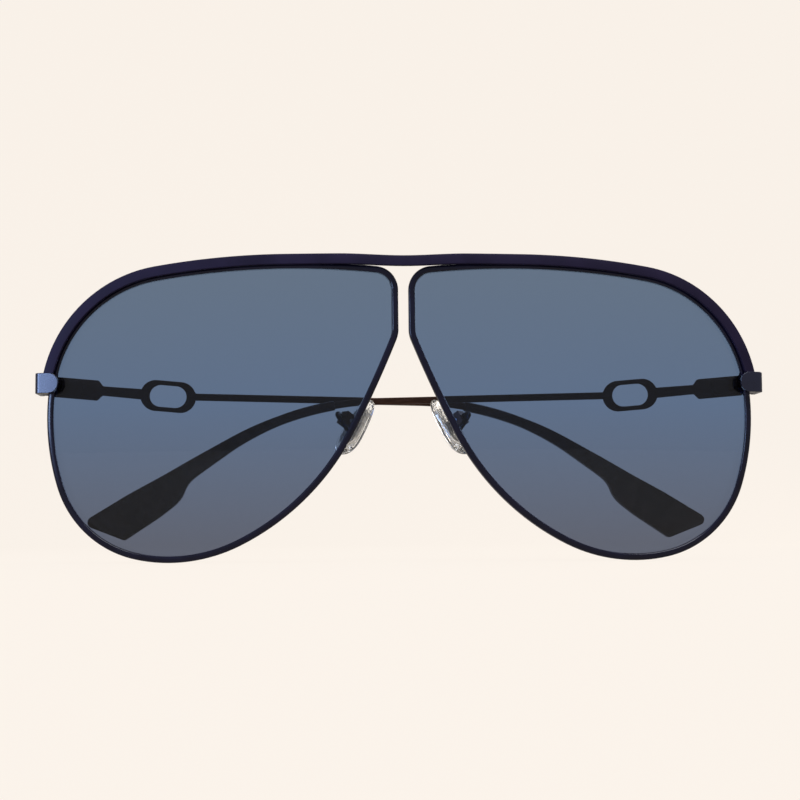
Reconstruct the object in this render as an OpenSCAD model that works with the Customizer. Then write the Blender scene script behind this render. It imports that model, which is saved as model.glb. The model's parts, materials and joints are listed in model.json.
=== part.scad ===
// Oversized metal sunglasses with gradient lenses, shown with both temples folded.
// +X is the wearer's left, +Y points back to the face, +Z is up.
// The origin lies midway between the lenses, level with their mid height,
// on the front face of the rims.

/* [Lenses] */
// Width of one lens
lens_w = 67.5; // [60:0.5:75]
// Height of one lens
lens_h = 56.8; // [50:0.2:64]
// Gap between the lenses at the bridge
lens_gap = 4.3; // [4:0.1:6]
// Thickness of a lens
lens_t = 1.9; // [1.5:0.1:2.2]
// Radius of the sphere that the front follows
base_r = 250; // [220:10:400]

/* [Rims] */
// Width of the rim wire seen from the front
rim_w = 1.15; // [1:0.05:1.5]
// Depth of the rim wire from front to back
rim_d = 2.4; // [2.3:0.1:3]
// How far the lens lies behind the front of the rim
lens_inset = 0.7; // [0.5:0.05:0.9]
// Depth of the groove that holds the lens
groove_d = 0.45; // [0.3:0.05:0.6]
// Width of the groove
groove_w = 0.8; // [0.6:0.05:1]

/* [Brow bar] */
// Height of the flat brow bar
bar_h = 2.1; // [1.8:0.1:2.6]
// Thickness of the brow bar
bar_t = 1.1; // [0.8:0.1:1.4]
// How far the bar reaches outside the lens
bar_reach = 2.6; // [2.4:0.1:3.2]
// How much lower the bar is at the bridge than above the lenses
bar_dip = 0.45; // [0:0.05:0.8]
// Length over which the bar dips on each side of the bridge
bar_dip_l = 13; // [10:1:18]

/* [Endpieces] */
// Height of the endpiece
end_h = 4.1; // [4:0.1:5]
// Height of the endpiece above the middle of the lens
end_z = 6.2; // [4:0.1:9]
// Thickness of the endpiece metal
end_t = 1; // [0.8:0.05:1.2]
// How far the endpiece stands out beside the lens
end_out = 3.55; // [3.3:0.05:4.5]
// How far the tab lies over the rim, measured from the outer face
tab_l = 4.8; // [4.4:0.1:5.4]
// Length of the endpiece's side, from the front of the tab to its back end
side_l = 6.6; // [6.2:0.1:8]
// Bend radius at the outer corner
corner_r = 1.2; // [0.8:0.1:1.6]
// Radius of the screw that closes the rim
lock_screw_r = 0.5; // [0.4:0.05:0.55]

/* [Hinges] */
// Distance from the outer face to the hinge pin
pin_inset = 2.6; // [2.5:0.05:2.8]
// Radius of a hinge knuckle
knuckle_r = 1.15; // [1.05:0.05:1.25]
// Height of the middle knuckle
knuckle_h = 1.4; // [1.2:0.1:1.8]
// Gap between the knuckles
knuckle_gap = 0.1; // [0.08:0.02:0.2]
// Radius of the hinge screw
pin_r = 0.55; // [0.45:0.05:0.65]
// Thickness of the hinge leaves
leaf_t = 0.78; // [0.6:0.02:0.8]
// Length of the leaf on the temple
leaf_l = 5; // [4:0.1:6]

/* [Temples] */
// Length from the hinge pin to the tip's upper corner before it is rounded, measured level
temple_l = 135.5; // [131:0.5:144]
// Thickness of the flat metal
arm_t = 1; // [0.8:0.05:1.1]
// Length of the wide part behind the hinge
root_l = 10.2; // [9:0.2:11]
// Height of the narrow neck
neck_h = 1.9; // [1.6:0.1:2.4]
// Distance from the pin to the middle of the ring
ring_x = 23.2; // [21:0.2:26]
// Length of the oblong ring
ring_l = 11.3; // [11:0.1:13]
// Height of the oblong ring
ring_h = 6.3; // [6.2:0.1:7]
// Length of the hole in the ring
eye_l = 7.5; // [7.2:0.1:8]
// Height of the hole in the ring
eye_h = 4.5; // [4.2:0.1:4.8]
// Height of the rod
rod_h = 1.4; // [1.2:0.1:1.8]
// Slope of the temple down from the pin to the ring
root_slope = 4.8; // [3:0.2:5.4]
// Slope of the rod behind the ring
rod_slope = 1.25; // [1:0.25:3]
// Distance from the pin to the start of the ear bend
bend_x = 75; // [70:0.5:80]
// Radius of the ear bend
bend_r = 61; // [50:1:70]
// Angle of the ear bend
bend_a = 31; // [26:1:34]
// Angle that the upper temple leans back over the lower one
lean_a = 2.2; // [2:0.1:3]

/* [Temple tips] */
// Distance from the pin to the start of the tip sleeve
tip_x = 84; // [80:0.5:90]
// Height of the sleeve where it starts
tip_start_h = 1.9; // [1.8:0.1:2.2]
// Height of the paddle at the end
tip_end_h = 7.7; // [6:0.1:9]
// Thickness of the sleeve where it starts
tip_start_t = 1.7; // [1.6:0.1:2]
// Thickness of the paddle
tip_end_t = 2.4; // [2.2:0.1:3]
// Radius of the paddle's upper corner
tip_round = 1.2; // [0.8:0.1:2]

/* [Nose pads] */
// Length of a nose pad
pad_l = 13; // [11:0.5:15]
// Width of a nose pad
pad_w = 8; // [7:0.5:8.5]
// Thickness of a nose pad
pad_t = 2; // [1.8:0.1:2.6]
// Distance from the middle of the nose to the pad
pad_x = 9.4; // [9:0.1:10.5]
// Distance of the pad behind the front
pad_y = 8.6; // [8.2:0.1:9.4]
// Height of the pad above the middle of the lens
pad_z = -2.8; // [-3.6:0.1:-2]
// Angle of the pad's length from upright
pad_lean = 32; // [26:1:36]
// Angle that the pads open towards the back
pad_splay = 34; // [26:1:36]
// Diameter of the pad wire
wire_d = 1; // [0.9:0.05:1.1]
// Width of the slot in the pad box
slot_w = 1.2; // [1.1:0.05:1.4]
// Wall of the pad box
box_wall = 0.55; // [0.45:0.05:0.7]
// Height of the pad box
box_h = 2.6; // [2.2:0.1:3]
// Radius of the pad screw
pad_screw_r = 0.4; // [0.3:0.05:0.45]

/* [Hidden] */
// Radii of the lens outline as shares of the lens width, from the nose down and round;
// zero marks the two arcs of the top edge, whose radius closes the outline
arc_shares = [0.07, 3.17, 0.72, 0.456, 0.297, 0.693, 0.359, 0, 0, 0.054];
// Angle that each of these arcs turns through
arc_turns = [22, 5.4, 36.4, 38.2, 60.8, 24.4, 74.2, 8.6, 6, 84];
// Edges of the paddle: share of the sleeve's length, then share of the paddle's height
// by which the edge stands off the wire's middle
upper_shares = [[0.22, 0.123], [0.4, 0.16], [0.545, 0.22], [0.665, 0.255], [0.8, 0.32], [1, 0.346]];
lower_shares = [[0.22, 0.123], [0.4, 0.165], [0.545, 0.225], [0.59, 0.255], [0.62, 0.35], [0.64, 0.48],
    [0.675, 0.575], [0.75, 0.63], [0.9, 0.654]];
// Share of the sleeve's length over which it thickens
taper_share = 0.6;
// Longest step along the sleeve's edges on the ear bend, as a share of its length
edge_step_share = 0.03;
// The pad's width at its top and its corner radius, as shares of its width
pad_top_share = 0.7;
pad_corner_share = 0.4;
// The plate inside the pad, as shares of the pad's length and width
core_share = 0.6;

down = 270;
upward = 450;
leftward = 540;
arc_step = 5;
corner_steps = 6;
line_steps = 8;
ball_facets = 360;
round_facets = 48;
overrun = 1;
solder_gap = 0.02;
fit = 0.05;
bore_fit = 0.03;
split_gap = 0.2;
open_gap = 0.15;
pad_clear = 0.4;
tab_wall = 0.35;

function sum_to(v, n) = n <= 0 ? 0 : v[n - 1] + sum_to(v, n - 1);
function chord(h, t) = [sin(h + t) - sin(h), cos(h) - cos(h + t)];
function reversed(points) = [for (i = [len(points) - 1:-1:0]) points[i]];
function steps_of(i) = ceil(arc_turns[i] / arc_step);

// Lens outline: a straight nasal side, then tangent arcs all the way round
arc_count = len(arc_shares);
arc_heads = [for (i = [0:arc_count]) down + sum_to(arc_turns, i)];
arc_chords = [for (i = [0:arc_count - 1]) chord(arc_heads[i], arc_turns[i])];
open_x = [for (i = [0:arc_count - 1]) arc_shares[i] * arc_chords[i][0]];
top_x = [for (i = [0:arc_count - 1]) arc_shares[i] == 0 ? arc_chords[i][0] : 0];
top_share = -sum_to(open_x, arc_count) / sum_to(top_x, arc_count);
arc_radii = [for (s = arc_shares) lens_w * (s == 0 ? top_share : s)];
arc_rise = [for (i = [0:arc_count - 1]) arc_radii[i] * arc_chords[i][1]];
nasal_l = sum_to(arc_rise, arc_count);

function arc_start(i) = i == 0 ? [0, -nasal_l] : arc_start(i - 1) + arc_radii[i - 1] * arc_chords[i - 1];
arc_points = [for (i = [0:arc_count - 1])
    let (from = arc_start(i))
    for (j = [0:steps_of(i) - 1])
    let (t = arc_turns[i] * j / steps_of(i), p = from + arc_radii[i] * chord(arc_heads[i], t))
    [p[0], p[1], arc_heads[i] + t]];
raw_points = concat([[0, 0, down]], arc_points);
raw_x = [for (p = raw_points) p[0]];
raw_z = [for (p = raw_points) p[1]];
fit_x = lens_w / (max(raw_x) - min(raw_x));
fit_z = lens_h / (max(raw_z) - min(raw_z));
mid_z = (max(raw_z) + min(raw_z)) / 2;

// A point of the outline, moved outwards by a distance
function outline_point(p, out) =
    let (t = [fit_x * cos(p[2]), fit_z * sin(p[2])], n = [t[1], -t[0]] / norm(t))
    [lens_gap / 2 + fit_x * p[0] + out * n[0], fit_z * (p[1] - mid_z) + out * n[1]];
function outline(out) = [for (p = raw_points) outline_point(p, out)];
// How far back a sphere about the front's centre lies at a place seen from the front
function depth(x, z, r) = base_r - sqrt(r * r - x * x - z * z);

// Round the corners of an outline, each with its own radius
function unit(v) = v / norm(v);
function round_corner(a, b, c, r) =
    r == 0 ? [b] :
    let (u = unit(a - b), v = unit(c - b), half = acos(u * v) / 2,
        centre = b + unit(u + v) * r / sin(half),
        p = b + u * r / tan(half) - centre, q = b + v * r / tan(half) - centre,
        turn = (p[0] * q[1] - p[1] * q[0] > 0 ? 1 : -1) * (180 - 2 * half))
    [for (i = [0:corner_steps]) let (t = turn * i / corner_steps)
        centre + [p[0] * cos(t) - p[1] * sin(t), p[0] * sin(t) + p[1] * cos(t)]];
function rounded(points, radii) =
    let (n = len(points))
    [for (i = [0:n - 1])
        for (p = round_corner(points[(i + n - 1) % n], points[i], points[(i + 1) % n], radii[i])) p];
function box_points(x0, x1, y0, y1) = [[x0, y0], [x1, y0], [x1, y1], [x0, y1]];
function slot_points(x, l, h) = rounded(box_points(x - l / 2, x + l / 2, -h / 2, h / 2), [1, 1, 1, 1] * 0.49 * h);

// Brow bar: one edge of the half on +X, from the endpiece to the middle of the bridge,
// lowered smoothly towards the bridge
bar_points = [for (p = raw_points) if (p[2] >= upward - 2 * arc_step && p[2] <= leftward) p];
function bar_edge(out) =
    let (side = [for (p = bar_points) outline_point(p, out)], apex = side[len(side) - 1],
        level = [for (i = [1:line_steps]) [apex[0] * (1 - i / line_steps), apex[1]]])
    [for (p = concat(side, level))
        let (near = max(0, 1 - p[0] / bar_dip_l)) [p[0], p[1] - bar_dip * near * near * (3 - 2 * near)]];

// Rim groove and the blocks that close the rim
groove_front = lens_inset + (lens_t - groove_w) / 2;
lock_h = end_h / 2 - fit;
lock_head_r = 1.5 * lock_screw_r;
lock_head_z = end_z - lock_h + lock_screw_r;

// Endpiece and hinge pin, in plan
end_x = lens_gap / 2 + lens_w + end_out;
side_x = end_x - end_t - solder_gap;
// The tab's back is flat, so it is set where the front lies furthest forward behind it
tab_z = max(0, end_z - end_h / 2);
function tab_back(x) = depth(x, tab_z, base_r + solder_gap);
function tab_front(x) = depth(x, tab_z, base_r + solder_gap + bar_t);
end_front = tab_front(end_x);
end_back = end_front + side_l;
prism_d = end_back + overrun;
lock_x = side_x - 1.6 * lock_screw_r;
lock_y = depth(lock_x, end_z, base_r - rim_d / 2);
pin_x = end_x - pin_inset;
pin_y = end_back + split_gap;
arm_in = pin_inset - arm_t;
leaf_in = arm_in - solder_gap - leaf_t;
leaf_start = knuckle_r + open_gap;
hinge_h = end_h - split_gap;
leaf_h = 0.75 * end_h;
side_in = pin_inset - end_t - solder_gap;

// Temple centre line in the plane of the arm, from the pin outwards: a straight root,
// a straight rod, the ear bend and a straight end
ring_drop = -ring_x * tan(root_slope);
bend_drop = ring_drop - (bend_x - ring_x) * tan(rod_slope);
bend_centre = [bend_x - bend_r * sin(rod_slope), bend_drop - bend_r * cos(rod_slope)];
bend_l = bend_r * bend_a * PI / 180;
ear_slope = rod_slope + bend_a;
function on_bend(a) = bend_centre + bend_r * [sin(rod_slope + a), cos(rod_slope + a)];
ear_start = on_bend(bend_a);
tip_top = tip_end_h * upper_shares[len(upper_shares) - 1][1];
ear_l = (temple_l - ear_start[0] - tip_top * sin(ear_slope)) / cos(ear_slope);
tip_start_a = asin((tip_x - bend_centre[0]) / bend_r) - rod_slope;
tip_start_l = bend_l * tip_start_a / bend_a;
tip_l = bend_l + ear_l - tip_start_l;
core_l = bend_l + ear_l - 1.5 * tip_end_h;
core_h = rod_h - 4 * fit;
// A point at a length along the wire from the start of the bend, with its slope
function wire_at(l) = l < bend_l ?
    let (a = l / bend_l * bend_a) concat(on_bend(a), rod_slope + a) :
    concat(ear_start + (l - bend_l) * [cos(ear_slope), -sin(ear_slope)], ear_slope);
function beside(p, out) = [p[0] + out * sin(p[2]), p[1] + out * cos(p[2])];
// A band along a line, with its height at each point
function strip(line, heights) = concat([for (i = [0:len(line) - 1]) beside(line[i], heights[i] / 2)],
    reversed([for (i = [0:len(line) - 1]) beside(line[i], -heights[i] / 2)]));
function wire_line(l0, l1) = [for (i = [0:2 * line_steps]) wire_at(l0 + (l1 - l0) * i / (2 * line_steps))];
function tip_edge(shares, side) =
    let (table = concat([[0, tip_start_h / 2 / tip_end_h]], shares), last = len(shares))
    [for (i = [0:last])
        let (from = table[i], to = table[min(i + 1, last)], bent = from[0] * tip_l < bend_l - tip_start_l,
            n = bent ? ceil((to[0] - from[0]) / edge_step_share) : 1)
        for (j = [0:n - 1])
        let (s = from + (to - from) * j / n) beside(wire_at(tip_start_l + s[0] * tip_l), side * s[1] * tip_end_h)];

// Nose pads, in the pad's own frame: X away from the nose, Y back, Z up along the pad
pad_out = pad_t / 2;
plate_t = pad_t / 4;
box_in = pad_out + pad_clear;
tab_r = pad_screw_r + tab_wall;
tab_t = slot_w - 4 * fit;
pivot_out = box_in + tab_r;
box_out = pivot_out + tab_r + 4 * fit + box_wall;
box_w = slot_w + 2 * box_wall;
screw_head_r = 1.8 * pad_screw_r;
function pad_place(v) =
    let (x = v[0] * cos(pad_lean) - v[2] * sin(pad_lean), z = v[0] * sin(pad_lean) + v[2] * cos(pad_lean))
    [pad_x + x * cos(pad_splay) + v[1] * sin(pad_splay),
        pad_y - x * sin(pad_splay) + v[1] * cos(pad_splay), pad_z + z];
// The wire leaves the back of the rim where the outline's third arc starts
weld = outline_point(raw_points[1 + steps_of(0) + steps_of(1)], rim_w / 2);
weld_y = depth(weld[0], weld[1], base_r - rim_d) + solder_gap;
wire_sides = 12;
wire_rings = 20;
wire_start = [weld[0], weld_y, weld[1]];
wire_end = pad_place([box_out + solder_gap, 0, 0]);
wire_pull = [wire_start + [0, 2 * wire_d, 0], wire_end + 4 * wire_d * unit(wire_end - pad_place([0, 0, 0]))];
// A smooth curve that leaves the rim straight back and meets the box square on
function wire_point(t) = pow(1 - t, 3) * wire_start + 3 * t * pow(1 - t, 2) * wire_pull[0]
    + 3 * t * t * (1 - t) * wire_pull[1] + pow(t, 3) * wire_end;
function wire_way(t) = unit(pow(1 - t, 2) * (wire_pull[0] - wire_start)
    + 2 * t * (1 - t) * (wire_pull[1] - wire_pull[0]) + t * t * (wire_end - wire_pull[1]));
function wire_ring(i) =
    let (t = i / wire_rings, way = wire_way(t), side = unit(cross(way, [0, 0, 1])), top = cross(way, side))
    [for (k = [0:wire_sides - 1]) let (a = -360 * k / wire_sides)
        wire_point(t) + wire_d / 2 * (cos(a) * side + sin(a) * top)];

metal = [0.17, 0.15, 0.23];
steel = [0.6, 0.61, 0.64];
lens_tint = [0.4, 0.45, 0.54, 0.7];
tip_brown = [0.2, 0.12, 0.1];
clear_silicone = [0.85, 0.88, 0.9, 0.6];

// Extrude an outline seen from the front through the whole depth
module facing(points) {
    translate([0, prism_d, 0]) rotate([90, 0, 0]) linear_extrude(2 * prism_d) polygon(points);
}
module ball(r) {
    translate([0, base_r, 0]) sphere(r, $fn = ball_facets);
}
module shell(r_out, r_in) {
    difference() {
        ball(r_out);
        ball(r_in);
    }
}
module other_side() {
    mirror([1, 0, 0]) children();
}
module block(x0, x1, y0, y1, z0, z1) {
    translate([x0, y0, z0]) cube([x1 - x0, y1 - y0, z1 - z0]);
}
module pillar(r, z0, z1) {
    translate([0, 0, z0]) cylinder(h = z1 - z0, r = r, $fn = round_facets);
}
// A screw along Z with a slotted head on top of its shank
module screw(shank_r, z0, z1, head_r, head_h) {
    pillar(shank_r, z0, z1);
    difference() {
        pillar(head_r, z1, z1 + head_h);
        block(-head_r - overrun, head_r + overrun, -head_r / 6, head_r / 6, z1 + head_h / 2, z1 + overrun);
    }
}

module groove() {
    intersection() {
        facing(outline(groove_d));
        shell(base_r - groove_front, base_r - groove_front - groove_w);
    }
}
module rim_depth() {
    intersection() {
        children();
        shell(base_r, base_r - rim_d);
    }
}

module rim() {
    color(metal) difference() {
        rim_depth() difference() {
            facing(outline(rim_w));
            facing(outline(0));
        }
        groove();
        block(end_x - 2 * tab_l, end_x, 0, prism_d, end_z - lock_h, end_z + lock_h);
    }
}

module lens() {
    color(lens_tint) {
        intersection() {
            facing(outline(-fit));
            shell(base_r - lens_inset, base_r - lens_inset - lens_t);
        }
        intersection() {
            facing(outline(groove_d - fit));
            shell(base_r - groove_front - fit, base_r - groove_front - groove_w + fit);
        }
    }
}

module brow_bar() {
    half = concat(bar_edge(bar_reach), reversed(bar_edge(bar_reach - bar_h)));
    color(metal) intersection() {
        union() {
            facing(half);
            other_side() facing(half);
        }
        shell(base_r + solder_gap + bar_t, base_r + solder_gap);
        block(-end_x, end_x, -prism_d, prism_d, end_z + end_h / 2 + solder_gap, lens_h);
    }
}

module endpiece() {
    tab_x = end_x - tab_l;
    plan = rounded([[tab_x, tab_front(tab_x)], [end_x, end_front], [end_x, end_back], [end_x - end_t, end_back],
        [end_x - end_t, tab_back(end_x - end_t)], [tab_x, tab_back(tab_x)]], [0, corner_r, 0, 0, 0, 0]);
    face = rounded(box_points(tab_x, end_x + overrun, end_z - end_h / 2, end_z + end_h / 2),
        [0.49 * end_h, 0, 0, 0.49 * end_h]);
    color(metal) intersection() {
        translate([0, 0, end_z - end_h / 2]) linear_extrude(end_h) polygon(plan);
        facing(face);
    }
}

// Two blocks on the ends of the rim, drawn together by an upright screw
module lock_block(z0, z1) {
    color(metal) difference() {
        rim_depth() difference() {
            block(end_x - tab_l, side_x, 0, prism_d, z0, z1);
            facing(outline(0));
        }
        groove();
        translate([lock_x, lock_y, 0]) {
            pillar(lock_screw_r + bore_fit, z0 - overrun, z1 + overrun);
            pillar(lock_head_r + bore_fit, end_z - end_h, lock_head_z);
        }
    }
}
module lock_upper() lock_block(end_z + split_gap / 2, end_z + lock_h - solder_gap);
module lock_lower() lock_block(end_z - lock_h + solder_gap, end_z - split_gap / 2);
module lock_screw() {
    color(steel) translate([lock_x, lock_y, lock_head_z]) mirror([0, 0, 1])
        screw(lock_screw_r, lock_head_z - end_z - lock_h + split_gap, bore_fit, lock_head_r, lock_screw_r - bore_fit);
}

// Everything at the pin is drawn about the pin's axis, at the middle of the hinge
module at_pin() {
    translate([pin_x, pin_y, end_z]) children();
}
module front_hinge() {
    outer_z = knuckle_h / 2 + knuckle_gap;
    color(metal) at_pin() difference() {
        union() {
            block(leaf_in, side_in, -side_l / 2, -leaf_start, -hinge_h / 2, hinge_h / 2);
            for (z = [-hinge_h / 2, outer_z]) {
                pillar(knuckle_r, z, z + hinge_h / 2 - outer_z);
                block(0, side_in, -knuckle_r, 0, z, z + hinge_h / 2 - outer_z);
                block(leaf_in, side_in, -side_l / 2, 0, z, z + hinge_h / 2 - outer_z);
            }
        }
        pillar(pin_r + bore_fit, -end_h, end_h);
    }
}
module hinge_screw() {
    color(steel) at_pin() screw(pin_r, -hinge_h / 2, hinge_h / 2, 1.7 * pin_r, 0.8 * pin_r);
}

// A temple is drawn with X along the arm from the pin, Y outwards when it is worn and Z up
module on_left() {
    at_pin() mirror([1, 0, 0]) children();
}
module on_right() {
    translate([-pin_x, pin_y, end_z]) rotate([0, 0, lean_a]) children();
}
module arm_plate(y0, y1) {
    translate([0, y1, 0]) rotate([90, 0, 0]) linear_extrude(y1 - y0) children();
}
module temple_hinge() {
    color(metal) difference() {
        union() {
            pillar(knuckle_r, -knuckle_h / 2, knuckle_h / 2);
            block(0, leaf_start + leaf_t, 0, leaf_in + leaf_t, -knuckle_h / 2, knuckle_h / 2);
            arm_plate(leaf_in, leaf_in + leaf_t) rotate(-root_slope)
                polygon(rounded(box_points(leaf_start, leaf_start + leaf_l, -leaf_h / 2, leaf_h / 2),
                    [0, 1, 1, 0] * leaf_t));
        }
        pillar(pin_r + bore_fit, -end_h, end_h);
    }
}
module temple_arm() {
    ring_start = ring_x - ring_l / 2;
    ring_wall = (ring_l - eye_l) / 2;
    rod = [[ring_x + (eye_l + ring_wall) / 2, ring_drop - (eye_l + ring_wall) / 2 * tan(rod_slope), rod_slope]];
    core = wire_line(tip_start_l + fit, core_l);
    heights = [for (i = [0:2 * len(core)]) i < len(core) + 1 ? rod_h : core_h];
    color(metal) difference() {
        union() {
            arm_plate(arm_in, pin_inset) rotate(-root_slope)
                polygon(rounded(box_points(open_gap, root_l, -end_h / 2, end_h / 2), [0, 1, 1, 0] * end_h / 4));
            arm_plate(arm_in, pin_inset) rotate(-root_slope)
                polygon(box_points(root_l / 2, ring_start + ring_wall / 2, -neck_h / 2, neck_h / 2));
            arm_plate(arm_in, pin_inset) rotate(-root_slope)
                polygon(slot_points(ring_x / cos(root_slope), ring_l, ring_h));
            arm_plate(arm_in, pin_inset) polygon(strip(concat(rod, wire_line(0, tip_start_l), core), heights));
        }
        arm_plate(arm_in - overrun, pin_inset + overrun) rotate(-root_slope)
            polygon(slot_points(ring_x / cos(root_slope), eye_l, eye_h));
    }
}
module temple_tip() {
    arm_mid = pin_inset - arm_t / 2;
    thick_x = tip_x + taper_share * (temple_l - tip_x);
    channel = wire_line(tip_start_l - overrun, core_l + fit);
    upper = tip_edge(upper_shares, 1);
    profile = concat(upper, reversed(tip_edge(lower_shares, -1)));
    corners = [for (i = [1:len(profile)]) i == len(upper) ? tip_round : i == len(upper) + 1 ? tip_round / 2 : 0];
    color(tip_brown) difference() {
        intersection() {
            arm_plate(0, 2 * pin_inset) polygon(rounded(profile, corners));
            translate([0, arm_mid, -temple_l]) linear_extrude(2 * temple_l)
                polygon([[tip_x - overrun, -tip_start_t / 2], [thick_x, -tip_end_t / 2],
                    [temple_l + overrun, -tip_end_t / 2], [temple_l + overrun, tip_end_t / 2],
                    [thick_x, tip_end_t / 2], [tip_x - overrun, tip_start_t / 2]]);
        }
        arm_plate(arm_in - fit, pin_inset + fit)
            polygon(strip(channel, [for (p = channel) core_h + 2 * fit]));
    }
}

// Nose pad parts, drawn in the pad's own frame on the wearer's left
module in_pad_frame() {
    translate([pad_x, pad_y, pad_z]) rotate([0, 0, -pad_splay]) rotate([0, -pad_lean, 0]) children();
}
// Extrude an outline in the pad's plane away from the nose
module pad_plate(x0, x1) {
    translate([x0, 0, 0]) rotate([90, 0, 90]) linear_extrude(x1 - x0) children();
}
module across_pad(r, y0, y1) {
    translate([pivot_out, 0, 0]) rotate([-90, 0, 0]) pillar(r, y0, y1);
}
module pad_outline() {
    w = pad_w / 2;
    l = pad_l / 2;
    polygon(rounded([[-w, -l], [w, -l], [w * pad_top_share, l], [-w * pad_top_share, l]],
        [1, 1, pad_top_share, pad_top_share] * pad_w * pad_corner_share));
}
module core_body(grow) {
    l = pad_l * core_share / 2 + grow;
    w = pad_w * core_share / 2 + grow;
    pad_plate(-plate_t / 2 - grow, plate_t / 2 + grow) polygon(rounded(box_points(-w, w, -l, l), [1, 1, 1, 1] * w / 2));
    block(0, pivot_out, -tab_t / 2 - grow, tab_t / 2 + grow, -tab_r - grow, tab_r + grow);
}
module nose_pad() {
    color(clear_silicone) in_pad_frame() difference() {
        pad_plate(-pad_out, pad_out) pad_outline();
        core_body(fit);
    }
}
module pad_core() {
    color(steel) in_pad_frame() difference() {
        union() {
            core_body(0);
            across_pad(tab_r, -tab_t / 2, tab_t / 2);
        }
        across_pad(pad_screw_r + bore_fit, -box_w, box_w);
    }
}
module pad_box() {
    color(metal) in_pad_frame() difference() {
        block(box_in, box_out, -box_w / 2, box_w / 2, -box_h / 2, box_h / 2);
        block(box_in - overrun, box_out - box_wall, -slot_w / 2, slot_w / 2, -box_h, box_h);
        across_pad(pad_screw_r + bore_fit, -box_w, box_w);
    }
}
module pad_screw() {
    color(steel) in_pad_frame() translate([pivot_out, 0, 0]) rotate([-90, 0, 0])
        screw(pad_screw_r, -box_w / 2 - 2 * fit, box_w / 2, screw_head_r, pad_screw_r);
}
module pad_arm() {
    color(metal) polyhedron(points = [for (i = [0:wire_rings]) each wire_ring(i)], faces = concat(
        [[for (k = [wire_sides - 1:-1:0]) k]],
        [[for (k = [0:wire_sides - 1]) wire_rings * wire_sides + k]],
        [for (i = [0:wire_rings - 1]) for (k = [0:wire_sides - 1])
            let (a = i * wire_sides, b = a + wire_sides, next = (k + 1) % wire_sides)
            each [[a + k, a + next, b + next], [a + k, b + next, b + k]]]));
}

module left_rim() rim();
module right_rim() other_side() rim();
module left_lens() lens();
module right_lens() other_side() lens();
module left_endpiece() endpiece();
module right_endpiece() other_side() endpiece();
module left_lock_upper() lock_upper();
module right_lock_upper() other_side() lock_upper();
module left_lock_lower() lock_lower();
module right_lock_lower() other_side() lock_lower();
module left_lock_screw() lock_screw();
module right_lock_screw() other_side() lock_screw();
module left_front_hinge() front_hinge();
module right_front_hinge() other_side() front_hinge();
module left_hinge_screw() hinge_screw();
module right_hinge_screw() other_side() hinge_screw();
module left_pad_arm() pad_arm();
module right_pad_arm() other_side() pad_arm();
module left_pad_box() pad_box();
module right_pad_box() other_side() pad_box();
module left_pad_screw() pad_screw();
module right_pad_screw() other_side() pad_screw();
module left_pad_core() pad_core();
module right_pad_core() other_side() pad_core();
module left_nose_pad() nose_pad();
module right_nose_pad() other_side() nose_pad();
module left_temple_hinge() on_left() temple_hinge();
module right_temple_hinge() on_right() temple_hinge();
module left_temple_arm() on_left() temple_arm();
module right_temple_arm() on_right() temple_arm();
module left_temple_tip() on_left() temple_tip();
module right_temple_tip() on_right() temple_tip();

brow_bar();
right_rim();
left_rim();
right_lens();
left_lens();
right_endpiece();
left_endpiece();
right_lock_upper();
left_lock_upper();
right_lock_lower();
left_lock_lower();
right_lock_screw();
left_lock_screw();
right_front_hinge();
left_front_hinge();
right_hinge_screw();
left_hinge_screw();
right_pad_arm();
left_pad_arm();
right_pad_box();
left_pad_box();
right_pad_screw();
left_pad_screw();
right_pad_core();
left_pad_core();
right_nose_pad();
left_nose_pad();
right_temple_hinge();
left_temple_hinge();
right_temple_arm();
left_temple_arm();
right_temple_tip();
left_temple_tip();
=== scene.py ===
import json
from math import asin, ceil, cos, exp, hypot, pi, radians, sin, sqrt, tan

import bmesh
import bpy
from mathutils import Matrix, Vector


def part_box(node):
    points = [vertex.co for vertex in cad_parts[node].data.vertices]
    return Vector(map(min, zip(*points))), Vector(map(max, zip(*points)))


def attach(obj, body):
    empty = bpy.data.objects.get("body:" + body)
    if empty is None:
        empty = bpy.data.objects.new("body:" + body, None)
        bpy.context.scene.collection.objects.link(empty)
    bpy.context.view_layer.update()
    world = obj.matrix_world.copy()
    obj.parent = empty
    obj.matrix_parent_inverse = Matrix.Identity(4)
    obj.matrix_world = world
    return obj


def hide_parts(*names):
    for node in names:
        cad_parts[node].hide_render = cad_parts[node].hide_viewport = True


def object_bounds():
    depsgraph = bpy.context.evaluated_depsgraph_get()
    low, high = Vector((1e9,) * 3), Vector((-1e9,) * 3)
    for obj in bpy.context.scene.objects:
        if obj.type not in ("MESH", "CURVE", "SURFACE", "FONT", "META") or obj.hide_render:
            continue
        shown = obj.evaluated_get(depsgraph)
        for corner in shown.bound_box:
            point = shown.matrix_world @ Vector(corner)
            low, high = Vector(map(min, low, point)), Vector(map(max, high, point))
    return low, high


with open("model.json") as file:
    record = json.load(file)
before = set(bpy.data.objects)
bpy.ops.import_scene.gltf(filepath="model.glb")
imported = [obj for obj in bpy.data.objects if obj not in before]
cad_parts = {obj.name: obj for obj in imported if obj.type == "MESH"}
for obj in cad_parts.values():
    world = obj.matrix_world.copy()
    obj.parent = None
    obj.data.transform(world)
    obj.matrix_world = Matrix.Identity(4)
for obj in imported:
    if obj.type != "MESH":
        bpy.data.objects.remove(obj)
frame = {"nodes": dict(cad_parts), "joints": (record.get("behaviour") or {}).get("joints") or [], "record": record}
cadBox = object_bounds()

mm = 0.001
mergeReach = 0.5 * mm * mm  # points this close are one
scene = bpy.context.scene
sides = {"left": 1, "right": -1}  # the wearer's sides, with the sign of X
joints = {joint["name"]: Vector(joint["pos_m"]) for joint in frame["joints"]}
print("frame loaded:", len(frame["nodes"]), "nodes")

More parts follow.
